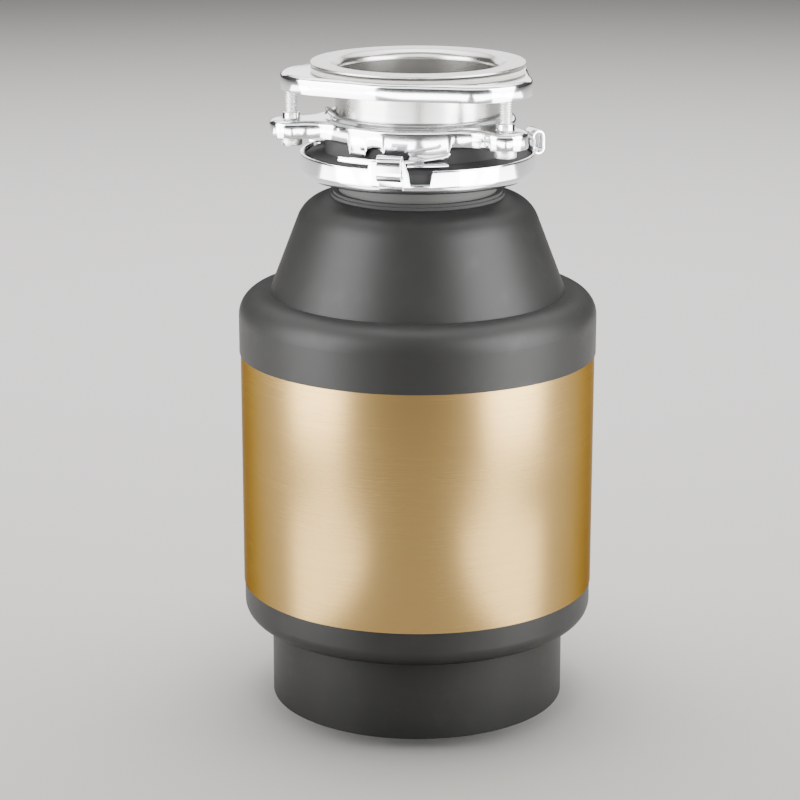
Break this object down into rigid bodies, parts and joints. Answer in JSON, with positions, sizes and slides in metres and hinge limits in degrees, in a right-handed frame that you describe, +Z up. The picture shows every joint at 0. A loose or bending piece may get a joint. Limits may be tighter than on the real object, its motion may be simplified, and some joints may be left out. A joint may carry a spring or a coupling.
{
  "type": "kitchen food waste disposer",
  "caption": "Cylindrical under-sink food waste disposer with metal sleeve, domed dark cover, swivel-lug grinder, rear drain elbow and clamp-ring sink mount.",
  "frame": {"origin": "on the vertical axis at the underside of the base, the centre of the wrench hole", "axes": "+Z up along the motor shaft towards the sink flange, -Y is the front, the drain elbow is at +Y"},
  "size_m": [0.1928, 0.2532, 0.3505],
  "materials": {
    "brushed_flange": "brushed stainless steel with a polished lip",
    "fibre_gasket": "pale grey fibre",
    "bright_chrome": "bright chrome plate",
    "spring_steel": "dull spring steel",
    "zinc_screws": "bright zinc plate",
    "zinc_plate": "satin zinc plate",
    "black_rubber": "matt black rubber",
    "dark_plastic": "satin dark grey moulded plastic",
    "champagne_sleeve": "champagne gold brushed sheet, fine vertical satin",
    "black_plastic": "black moulded plastic",
    "red_plastic": "glossy red",
    "chamber_plastic": "glass filled dark grey plastic",
    "grey_foam": "grey foam with open pores",
    "stainless": "turned stainless steel",
    "cast_aluminium": "as cast",
    "bronze": "sintered bronze",
    "lamination_steel": "stacked electrical steel",
    "enamelled_copper": "enamelled copper wire"
  },
  "bodies": {
    "root": {"sink_flange": "brushed_flange", "sink_gasket": "fibre_gasket", "backup_flange": "bright_chrome", "upper_mounting_ring": "bright_chrome", "snap_ring": "spring_steel", "mounting_gasket": "black_rubber", "splash_baffle": "black_rubber", "neck_grommet": "black_rubber", "top_cover": "dark_plastic", "sleeve": "champagne_sleeve", "lower_band": "dark_plastic", "base_cover": "dark_plastic", "base_screws": "zinc_screws", "wiring_cover": "zinc_plate", "wiring_cover_screw": "zinc_screws", "cable_bushing": "black_plastic", "grind_chamber": "chamber_plastic", "sound_jacket": "grey_foam", "chamber_seal": "black_rubber", "chamber_screws": "zinc_screws", "grind_ring": "stainless", "drain_housing": "cast_aluminium", "shaft_seal": "black_rubber", "upper_bearing": "bronze", "stator_core": "lamination_steel", "stator_windings": "enamelled_copper", "lower_end_frame": "cast_aluminium", "lower_bearing": "bronze", "thrust_washer": "bronze", "through_bolts": "zinc_screws", "run_capacitor": "black_plastic", "overload_protector": "black_plastic", "discharge_gasket": "black_rubber", "discharge_elbow": "black_plastic", "discharge_flange": "zinc_plate", "discharge_screws": "zinc_screws"},
    "rotor": {"motor_shaft": "stainless", "rotor_core": "lamination_steel", "rotor_cage": "cast_aluminium", "turntable": "stainless", "turntable_nut": "stainless", "lug_pins": "stainless", "water_slinger": "black_rubber"},
    "lug_a": {"swivel_lug_a": "stainless"},
    "lug_b": {"swivel_lug_b": "stainless"},
    "mount_ring": {"lower_mounting_ring": "bright_chrome"},
    "screw_left": {"mounting_screw_left": "zinc_screws"},
    "screw_right": {"mounting_screw_right": "zinc_screws"},
    "screw_rear": {"mounting_screw_rear": "zinc_screws"},
    "button": {"reset_button": "red_plastic"}
  },
  "joints": [
    {"name": "rotor_spin", "type": "hinge", "parent": "root", "child": "rotor", "pos_m": [0, 0, 0.048], "axis": [0, 0, 1], "continuous": true},
    {"name": "lug_a_swivel", "type": "hinge", "parent": "rotor", "child": "lug_a", "pos_m": [0.048, 0, 0.155], "axis": [0, 0, 1], "continuous": true},
    {"name": "lug_b_swivel", "type": "hinge", "parent": "rotor", "child": "lug_b", "pos_m": [-0.048, 0, 0.155], "axis": [0, 0, 1], "continuous": true},
    {"name": "mount_ring_turn", "type": "hinge", "parent": "root", "child": "mount_ring", "pos_m": [0, 0, 0.29], "axis": [0, 0, 1], "range_deg": [-25, 0]},
    {"name": "screw_left_slide", "type": "slide", "parent": "root", "child": "screw_left", "axis": [0, 0, -1], "range_m": [0, 0.0035]},
    {"name": "screw_right_slide", "type": "slide", "parent": "root", "child": "screw_right", "axis": [0, 0, -1], "range_m": [0, 0.0035]},
    {"name": "screw_rear_slide", "type": "slide", "parent": "root", "child": "screw_rear", "axis": [0, 0, -1], "range_m": [0, 0.0035]},
    {"name": "reset_press", "type": "slide", "parent": "root", "child": "button", "axis": [0, 0, -1], "range_m": [0, 0.0025]}
  ]
}
